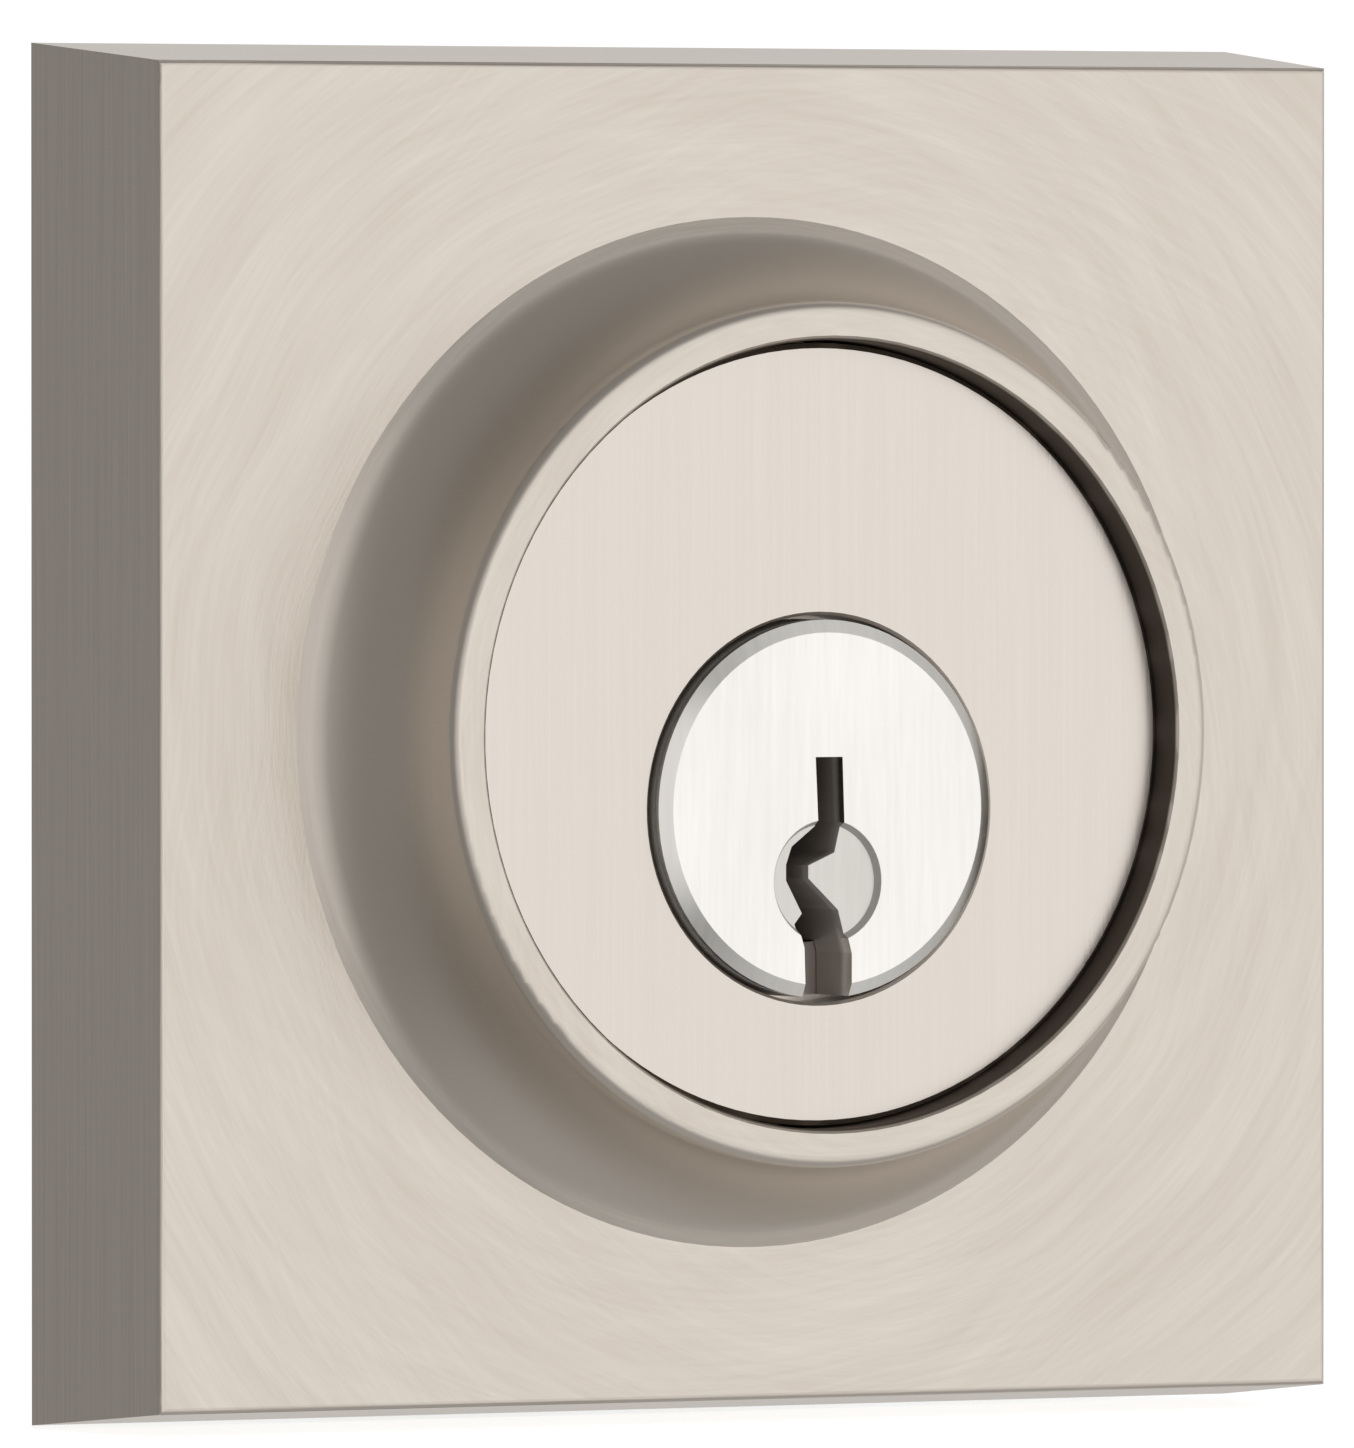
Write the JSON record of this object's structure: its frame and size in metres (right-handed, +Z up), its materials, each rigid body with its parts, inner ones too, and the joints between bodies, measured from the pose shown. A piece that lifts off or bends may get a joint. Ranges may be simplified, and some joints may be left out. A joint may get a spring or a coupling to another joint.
{
  "type": "deadbolt door lock",
  "caption": "Tubular deadbolt for a door: square outside rose with keyed cylinder, sliding bolt behind a rounded faceplate, square inside rose with thumb turn.",
  "frame": {"origin": "centre of the door's cross bore, in the plane of the door's outside face", "axes": "+Z up, +X towards the door's edge (the way the bolt is thrown), +Y from the outside of the door to the inside"},
  "size_m": [0.0928, 0.093, 0.065],
  "materials": {
    "rose_satin": "satin nickel plate, brushed in soft curved strokes",
    "cylinder_face": "satin nickel plate, fine upright brushing",
    "cylinder_cast": "zinc die casting, as cast",
    "plug_bright": "polished nickel plate",
    "pin_brass": "turned brass",
    "spring_steel": "drawn spring wire and stamped strip",
    "zinc_steel": "zinc-plated steel",
    "bolt_satin": "satin nickel plate, lengthwise brushing",
    "hardened": "hardened steel, black oxide",
    "rubber_seal": "moulded rubber"
  },
  "bodies": {
    "lock_body": {"outside_rose": "rose_satin", "outside_gasket": "rubber_seal", "cylinder_body": "cylinder_face", "cylinder_yoke": "cylinder_cast", "yoke_circlip": "spring_steel", "chamber_cap": "pin_brass", "drill_pins": "hardened", "case_outer": "zinc_steel", "case_inner": "zinc_steel", "case_collar": "cylinder_cast", "case_rivets": "zinc_steel", "bolt_tube": "zinc_steel", "detent_spring": "spring_steel", "faceplate": "bolt_satin", "back_plate": "zinc_steel", "faceplate_screws": "bolt_satin", "mounting_plate": "zinc_steel", "mounting_screws": "zinc_steel", "inside_rose": "rose_satin", "rose_set_screw": "hardened", "pin_spring_1": "spring_steel", "pin_spring_2": "spring_steel", "pin_spring_3": "spring_steel", "pin_spring_4": "spring_steel", "pin_spring_5": "spring_steel"},
    "turn_train": {"thumb_turn": "rose_satin", "turn_spindle": "cylinder_cast", "turn_clip": "spring_steel", "turn_washer": "pin_brass", "tailpiece": "zinc_steel", "bolt_cam": "zinc_steel"},
    "key_plug": {"plug": "plug_bright", "plug_clip": "spring_steel", "tail_driver": "pin_brass", "tail_retainer": "spring_steel"},
    "bolt_slide": {"bolt": "bolt_satin", "bolt_hard_pin": "hardened", "bolt_bar": "zinc_steel", "bar_rivets": "zinc_steel"},
    "driver_1": {"driver_pin_1": "zinc_steel"},
    "bottom_pin_1": {"key_pin_1": "pin_brass"},
    "driver_2": {"driver_pin_2": "zinc_steel"},
    "bottom_pin_2": {"key_pin_2": "pin_brass"},
    "driver_3": {"driver_pin_3": "zinc_steel"},
    "bottom_pin_3": {"key_pin_3": "pin_brass"},
    "driver_4": {"driver_pin_4": "zinc_steel"},
    "bottom_pin_4": {"key_pin_4": "pin_brass"},
    "driver_5": {"driver_pin_5": "zinc_steel"},
    "bottom_pin_5": {"key_pin_5": "pin_brass"}
  },
  "joints": [
    {"name": "thumb_turn", "type": "hinge", "parent": "lock_body", "child": "turn_train", "pos_m": [0, 0.02223, -0.0035], "axis": [0, 1, 0], "range_deg": [0, 90]},
    {"name": "key_turn", "type": "hinge", "parent": "lock_body", "child": "key_plug", "pos_m": [0, 0, -0.0035], "axis": [0, 1, 0], "range_deg": [0, 90]},
    {"name": "bolt_throw", "type": "slide", "parent": "lock_body", "child": "bolt_slide", "axis": [1, 0, 0], "range_m": [0, 0.0254]},
    {"name": "driver_lift_1", "type": "slide", "parent": "lock_body", "child": "driver_1", "axis": [0, 0, 1], "range_m": [0, 0.0014], "stiffness_N_per_m": 60, "springref_m": -0.004, "deforming": ["pin_spring_1"]},
    {"name": "driver_lift_2", "type": "slide", "parent": "lock_body", "child": "driver_2", "axis": [0, 0, 1], "range_m": [0, 0.0014], "stiffness_N_per_m": 60, "springref_m": -0.004, "deforming": ["pin_spring_2"]},
    {"name": "driver_lift_3", "type": "slide", "parent": "lock_body", "child": "driver_3", "axis": [0, 0, 1], "range_m": [0, 0.0014], "stiffness_N_per_m": 60, "springref_m": -0.004, "deforming": ["pin_spring_3"]},
    {"name": "driver_lift_4", "type": "slide", "parent": "lock_body", "child": "driver_4", "axis": [0, 0, 1], "range_m": [0, 0.0014], "stiffness_N_per_m": 60, "springref_m": -0.004, "deforming": ["pin_spring_4"]},
    {"name": "driver_lift_5", "type": "slide", "parent": "lock_body", "child": "driver_5", "axis": [0, 0, 1], "range_m": [0, 0.0014], "stiffness_N_per_m": 60, "springref_m": -0.004, "deforming": ["pin_spring_5"]},
    {"name": "key_pin_drop_1", "type": "slide", "parent": "key_plug", "child": "bottom_pin_1", "axis": [0, 0, 1], "range_m": [-0.0027, 0]},
    {"name": "key_pin_drop_2", "type": "slide", "parent": "key_plug", "child": "bottom_pin_2", "axis": [0, 0, 1], "range_m": [-0.0019, 0]},
    {"name": "key_pin_drop_3", "type": "slide", "parent": "key_plug", "child": "bottom_pin_3", "axis": [0, 0, 1], "range_m": [-0.0012, 0]},
    {"name": "key_pin_drop_4", "type": "slide", "parent": "key_plug", "child": "bottom_pin_4", "axis": [0, 0, 1], "range_m": [-0.0023, 0]},
    {"name": "key_pin_drop_5", "type": "slide", "parent": "key_plug", "child": "bottom_pin_5", "axis": [0, 0, 1], "range_m": [-0.0015, 0]}
  ],
  "couplings": [
    {"joint": "key_turn", "follows": "bolt_throw", "rad_per_m": 61.842},
    {"joint": "thumb_turn", "follows": "bolt_throw", "rad_per_m": 61.842}
  ]
}
